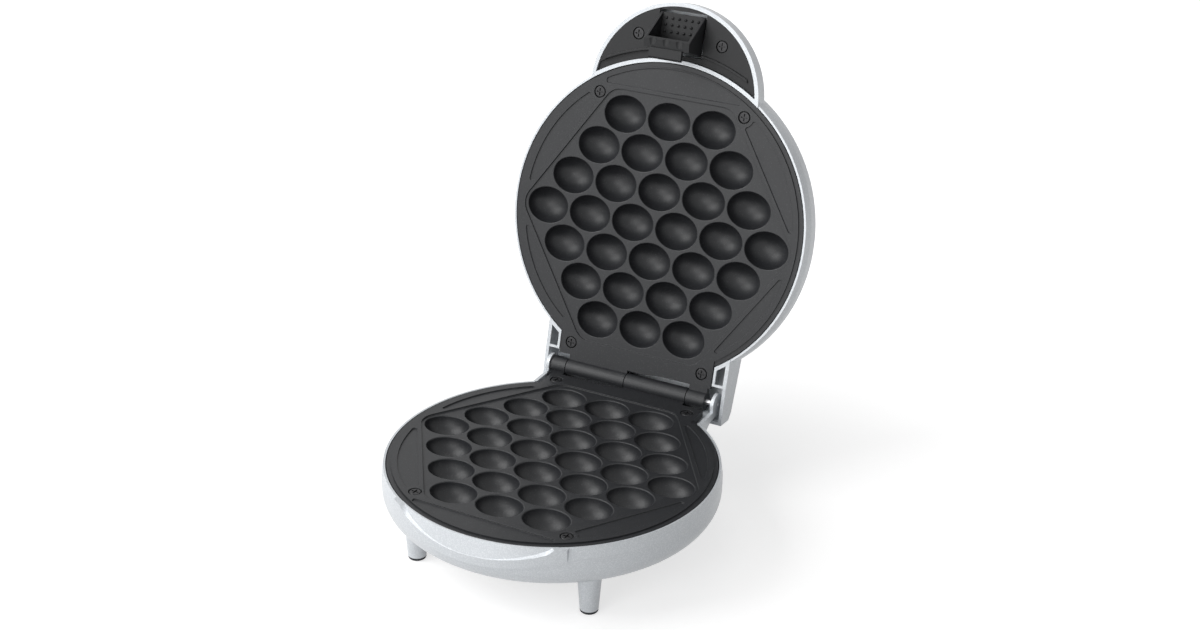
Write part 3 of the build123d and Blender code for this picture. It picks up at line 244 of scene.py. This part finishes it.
def finish(name, colour, groups, **look):
    """Principled material whose colour, gloss and grain come from the shared groups."""
    values = {
        "spread": 0.12,
        "fleck_rate": 2600.0,
        "fleck_share": 0.5,
        "fleck_gain": 0.0,
        "fleck_colour": (1.0, 1.0, 1.0),
        "roughness": 0.45,
        "roughness_spread": 0.12,
        "metallic": 0.0,
        "grain_rate": 1500.0,
        "grain_height": 0.02 * MM,
        "drift_rate": 14.0,
        "mark_rate": 60.0,
        "mark_gain": 0.06,
        "coat": 0.0,
        "coat_roughness": 0.2,
        "specular": 0.5,
        **look,
    }
    material = bpy.data.materials.new(name)
    material.use_nodes = True
    tree = material.node_tree
    shader = tree.nodes["Principled BSDF"]
    grain = tree.nodes.new("ShaderNodeGroup")
    grain.node_tree = groups["grain"]
    grain.inputs["Per metre"].default_value = values["grain_rate"]
    grain.inputs["Drift per metre"].default_value = values["drift_rate"]
    flecks = tree.nodes.new("ShaderNodeGroup")
    flecks.node_tree = groups["flecks"]
    flecks.inputs["Per metre"].default_value = values["fleck_rate"]
    flecks.inputs["Share"].default_value = values["fleck_share"]
    marks = tree.nodes.new("ShaderNodeGroup")
    marks.node_tree = groups["marks"]
    marks.inputs["Per metre"].default_value = values["mark_rate"]
    marks.inputs["Amount"].default_value = values["mark_gain"]

    drift = tree.nodes.new("ShaderNodeMix")
    drift.data_type = "RGBA"
    dark, light = 1 - values["spread"], 1 + values["spread"]
    drift.inputs["A"].default_value = (*[part * dark for part in colour], 1)
    drift.inputs["B"].default_value = (*[min(1, part * light) for part in colour], 1)
    tree.links.new(grain.outputs["Drift"], drift.inputs["Factor"])
    fleck_mix = tree.nodes.new("ShaderNodeMix")
    fleck_mix.data_type = "RGBA"
    fleck_mix.inputs["B"].default_value = (*values["fleck_colour"], 1)
    tree.links.new(drift.outputs["Result"], fleck_mix.inputs["A"])
    shine = math_node(tree, "MULTIPLY", flecks.outputs["Fleck"], values["fleck_gain"])
    tree.links.new(shine, fleck_mix.inputs["Factor"])
    tree.links.new(fleck_mix.outputs["Result"], shader.inputs["Base Color"])

    wander = math_node(tree, "SUBTRACT", grain.outputs["Drift"], MEAN_NOISE)
    wander = math_node(tree, "MULTIPLY", wander, 2 * values["roughness_spread"])
    rough = math_node(tree, "ADD", wander, values["roughness"])
    rough = math_node(tree, "ADD", rough, marks.outputs["Mark"])
    tree.links.new(rough, shader.inputs["Roughness"])

    bump = tree.nodes.new("ShaderNodeBump")
    bump.inputs["Strength"].default_value = 1.0
    bump.inputs["Distance"].default_value = values["grain_height"]
    tree.links.new(grain.outputs["Height"], bump.inputs["Height"])
    tree.links.new(bump.outputs["Normal"], shader.inputs["Normal"])

    shader.inputs["Metallic"].default_value = values["metallic"]
    shader.inputs["Coat Weight"].default_value = values["coat"]
    shader.inputs["Coat Roughness"].default_value = values["coat_roughness"]
    shader.inputs["Specular IOR Level"].default_value = values["specular"]
    return material


def make_finishes():
    """Every material by the slot that the part's record names."""
    groups = {"grain": grain_group(), "flecks": fleck_group(), "marks": wear_group()}
    chosen = bpy.context.scene.waffle_colours
    lengths = bpy.context.scene.waffle_sizes
    return {
        "pearl_housing": finish(
            "PearlHousing", tuple(chosen.pearl), groups, spread=0.03,
            fleck_rate=1 / lengths.flake_pitch, fleck_share=0.5, fleck_gain=0.4,
            fleck_colour=(0.92, 0.94, 0.97), roughness=0.36, roughness_spread=0.05, metallic=0.2,
            grain_rate=2200, grain_height=lengths.lacquer_ripple, coat=0.2, coat_roughness=0.22,
        ),
        "coated_plate": finish(
            "NonStickCoating", tuple(chosen.coating), groups, spread=0.18, fleck_rate=1800,
            fleck_share=0.12, fleck_gain=0.05, fleck_colour=(0.35, 0.35, 0.36), roughness=0.42,
            roughness_spread=0.05, grain_rate=1300, grain_height=lengths.coating_grain,
            mark_gain=0.08, mark_rate=35, specular=0.4,
        ),
        "black_plastic": finish(
            "BlackPlastic", tuple(chosen.plastic), groups, spread=0.1, roughness=0.44,
            roughness_spread=0.06, grain_rate=1700, grain_height=lengths.plastic_grain,
            mark_gain=0.1, specular=0.28,
        ),
        "rubber": finish(
            "SoftRubber", tuple(chosen.rubber), groups, spread=0.12, roughness=0.78,
            roughness_spread=0.05, grain_rate=900, grain_height=0.05 * MM, specular=0.3,
        ),
        "dark_screw": finish(
            "BlackenedSteel", (0.022, 0.022, 0.024), groups, spread=0.15, roughness=0.4,
            metallic=0.35, grain_rate=2500, grain_height=0.01 * MM, mark_gain=0.15, mark_rate=400,
        ),
        "zinc_steel": finish(
            "ZincSteel", (0.56, 0.56, 0.57), groups, spread=0.08, roughness=0.3, metallic=1.0,
            grain_rate=2500, grain_height=0.01 * MM, mark_gain=0.15, mark_rate=300,
        ),
        "heater_sheath": finish(
            "HeatDulledTube", (0.24, 0.20, 0.17), groups, spread=0.3, drift_rate=60,
            roughness=0.5, roughness_spread=0.15, metallic=0.9, grain_rate=1800,
            grain_height=0.02 * MM,
        ),
        "ceramic": finish(
            "Ceramic", (0.80, 0.77, 0.70), groups, spread=0.06, roughness=0.7, grain_rate=1600,
            grain_height=0.03 * MM,
        ),
        "shield_sheet": finish(
            "ShieldSheet", (0.68, 0.69, 0.70), groups, spread=0.08, roughness=0.35,
            roughness_spread=0.1, metallic=1.0, grain_rate=800, grain_height=0.02 * MM,
            mark_gain=0.15,
        ),
        "fuse_can": finish(
            "FuseCan", (0.62, 0.48, 0.24), groups, spread=0.1, roughness=0.35, metallic=1.0,
            grain_rate=2500, grain_height=0.008 * MM,
        ),
        "white_nylon": finish(
            "WhiteNylon", (0.76, 0.76, 0.73), groups, spread=0.04, roughness=0.55, grain_rate=1500,
            grain_height=0.02 * MM,
        ),
        "red_lens": finish(
            "RedLens", (0.50, 0.018, 0.012), groups, spread=0.15, drift_rate=150, roughness=0.12,
            roughness_spread=0.04, grain_rate=900, grain_height=0.004 * MM, coat=0.6,
            coat_roughness=0.05,
        ),
        "green_lens": finish(
            "GreenLens", (0.02, 0.30, 0.04), groups, spread=0.15, drift_rate=150, roughness=0.12,
            roughness_spread=0.04, grain_rate=900, grain_height=0.004 * MM, coat=0.6,
            coat_roughness=0.05,
        ),
        "circuit_board": finish(
            "CircuitBoard", (0.03, 0.16, 0.06), groups, spread=0.15, roughness=0.5, grain_rate=900,
            grain_height=0.02 * MM,
        ),
    }


class WAFFLE_OT_stage(bpy.types.Operator):
    """Floor, lights, world and the camera"""

    bl_idname = "waffle.stage"
    bl_label = "Stage and camera"

    def execute(self, context):
        scene = context.scene
        scene.view_settings.view_transform = "Standard"
        camera = bpy.data.cameras.new("Camera")
        camera.sensor_width = SENSOR_MM
        camera.lens = LENS_MM
        camera.clip_start = CLIP_START
        camera.clip_end = CLIP_END
        viewer = bpy.data.objects.new("Camera", camera)
        viewer.location = CAMERA_PLACE
        viewer.rotation_euler = Euler([math.radians(angle) for angle in CAMERA_TURN])
        context.collection.objects.link(viewer)
        scene.camera = viewer

        bpy.ops.object.select_all(action="DESELECT")
        bpy.ops.mesh.primitive_plane_add(size=2 * FLOOR_HALF, location=(0, 0, 0))
        floor = context.object
        floor.name = "studio_floor"
        floor.data.materials.append(self.floor_material())
        self.world(scene)

        for name, place, size, power in LAMPS:
            data = bpy.data.lights.new(name, "AREA")
            data.shape = "SQUARE"
            data.size = size
            data.energy = power
            lamp = bpy.data.objects.new(name, data)
            lamp.location = place
            aim = Vector(LAMP_TARGET) - Vector(place)
            lamp.rotation_euler = aim.to_track_quat("-Z", "Y").to_euler()
            context.collection.objects.link(lamp)
        return {"FINISHED"}

    def floor_material(self):
        """White to the camera far off; near the object a lower glow paints a grey shade round it,
        beside the soft shadow that it casts.
        """
        material = bpy.data.materials.new("StudioFloor")
        material.use_nodes = True
        tree = material.node_tree
        tree.nodes.clear()
        out = tree.nodes.new("ShaderNodeOutputMaterial")
        diffuse = tree.nodes.new("ShaderNodeBsdfDiffuse")
        diffuse.inputs["Color"].default_value = FLOOR_SHADE
        glow = tree.nodes.new("ShaderNodeEmission")
        glow.inputs["Color"].default_value = WHITE
        rays = tree.nodes.new("ShaderNodeLightPath").outputs
        seen = math_node(tree, "MAXIMUM", rays["Is Camera Ray"], rays["Is Glossy Ray"])
        place = tree.nodes.new("ShaderNodeTexCoord")
        reach = tree.nodes.new("ShaderNodeVectorMath")
        reach.operation = "LENGTH"
        tree.links.new(place.outputs["Object"], reach.inputs[0])
        # painted shade: the glow is lowest near the object, so the floor there is greyer than its
        # lighting alone makes it
        fade = tree.nodes.new("ShaderNodeMapRange")
        fade.interpolation_type = "SMOOTHSTEP"
        fade.inputs["From Min"].default_value = NEAR_REACH
        fade.inputs["From Max"].default_value = FAR_REACH
        fade.inputs["To Min"].default_value = NEAR_GLOW
        fade.inputs["To Max"].default_value = FAR_GLOW
        tree.links.new(reach.outputs["Value"], fade.inputs["Value"])
        strength = math_node(tree, "MULTIPLY", seen, fade.outputs["Result"])
        tree.links.new(strength, glow.inputs["Strength"])
        both = tree.nodes.new("ShaderNodeAddShader")
        tree.links.new(diffuse.outputs[0], both.inputs[0])
        tree.links.new(glow.outputs[0], both.inputs[1])
        tree.links.new(both.outputs[0], out.inputs["Surface"])
        return material

    def world(self, scene):
        """White to the camera and in reflections, but only a faint light on the object."""
        world = bpy.data.worlds.new("Studio")
        scene.world = world
        world.use_nodes = True
        tree = world.node_tree
        tree.nodes.clear()
        out = tree.nodes.new("ShaderNodeOutputWorld")
        room = tree.nodes.new("ShaderNodeBackground")
        room.inputs["Color"].default_value = WHITE
        rays = tree.nodes.new("ShaderNodeLightPath").outputs
        seen = math_node(tree, "MAXIMUM", rays["Is Camera Ray"], rays["Is Glossy Ray"])
        seen = math_node(tree, "MAXIMUM", seen, rays["Is Transmission Ray"])
        gain = math_node(tree, "MULTIPLY", seen, 1.0 - WORLD_LIGHT)
        strength = math_node(tree, "ADD", gain, WORLD_LIGHT)
        tree.links.new(strength, room.inputs["Strength"])
        tree.links.new(room.outputs[0], out.inputs["Surface"])


def dress(chosen):
    """Give each CAD node that chosen(name) picks the finish of its material slot."""
    for node, obj in NODES.items():
        if chosen(node):
            obj.data.materials.clear()
            obj.data.materials.append(FINISHES[SLOT_OF[node]])


class WAFFLE_OT_finishes(bpy.types.Operator):
    """Materials of the housings, plates, plastic pieces and fittings"""

    bl_idname = "waffle.finishes"
    bl_label = "Finishes"

    def execute(self, context):
        FINISHES.clear()
        FINISHES.update(make_finishes())
        return {"FINISHED"}


class WAFFLE_OT_housing(bpy.types.Operator):
    """Base and lid housings, legs, tips and bottom cover"""

    bl_idname = "waffle.housing"
    bl_label = "Housings"

    def execute(self, context):
        dress(lambda node: node in ("base_shell", "lid_shell", "base_cover", "cord_gland"))
        dress(lambda node: node.endswith(("_leg", "_foot_tip")))
        return {"FINISHED"}


class WAFFLE_OT_plates(bpy.types.Operator):
    """Baking plates"""

    bl_idname = "waffle.plates"
    bl_label = "Baking plates"

    def execute(self, context):
        dress(lambda node: node in ("lower_plate", "upper_plate", "hinge_pin"))
        return {"FINISHED"}


class WAFFLE_OT_handle(bpy.types.Operator):
    """Handle panel, latch, and lamps"""

    bl_idname = "waffle.handle"
    bl_label = "Handle and latch"

    def execute(self, context):
        dress(lambda node: node.startswith(("handle_", "latch_", "lamp_")))
        dress(lambda node: node.endswith("_lens"))
        return {"FINISHED"}


class WAFFLE_OT_fittings(bpy.types.Operator):
    """Screws, heaters, shields, and controls"""

    bl_idname = "waffle.fittings"
    bl_label = "Fittings"

    def execute(self, context):
        dress(lambda node: node.endswith(("_screws", "_heater", "_insulators", "_heat_shield")))
        dress(lambda node: node in ("thermostat", "thermal_fuse", "terminal_block"))
        return {"FINISHED"}


class WAFFLE_PT_panel(bpy.types.Panel):
    """Sidebar with the settings and the building steps"""

    bl_idname = "WAFFLE_PT_panel"
    bl_label = "Waffle Maker"
    bl_space_type = "VIEW_3D"
    bl_region_type = "UI"
    bl_category = "Waffle Maker"

    def draw(self, context):
        for group in (context.scene.waffle_sizes, context.scene.waffle_colours):
            for name in group.__annotations__:
                self.layout.prop(group, name)
        for step in STEPS:
            self.layout.operator(step.bl_idname)


STEPS = (
    WAFFLE_OT_stage,
    WAFFLE_OT_finishes,
    WAFFLE_OT_housing,
    WAFFLE_OT_plates,
    WAFFLE_OT_handle,
    WAFFLE_OT_fittings,
)
CLASSES = (WaffleSizes, WaffleColours, *STEPS, WAFFLE_PT_panel)


def register():
    for item in CLASSES:
        bpy.utils.register_class(item)
    bpy.types.Scene.waffle_sizes = PointerProperty(type=WaffleSizes)
    bpy.types.Scene.waffle_colours = PointerProperty(type=WaffleColours)


def unregister():
    del bpy.types.Scene.waffle_colours
    del bpy.types.Scene.waffle_sizes
    for item in reversed(CLASSES):
        bpy.utils.unregister_class(item)


def main():
    register()
    bpy.ops.waffle.stage()
    bpy.ops.waffle.finishes()
    bpy.ops.waffle.housing()
    bpy.ops.waffle.plates()
    bpy.ops.waffle.handle()
    bpy.ops.waffle.fittings()


if __name__ == "__main__":
    main()
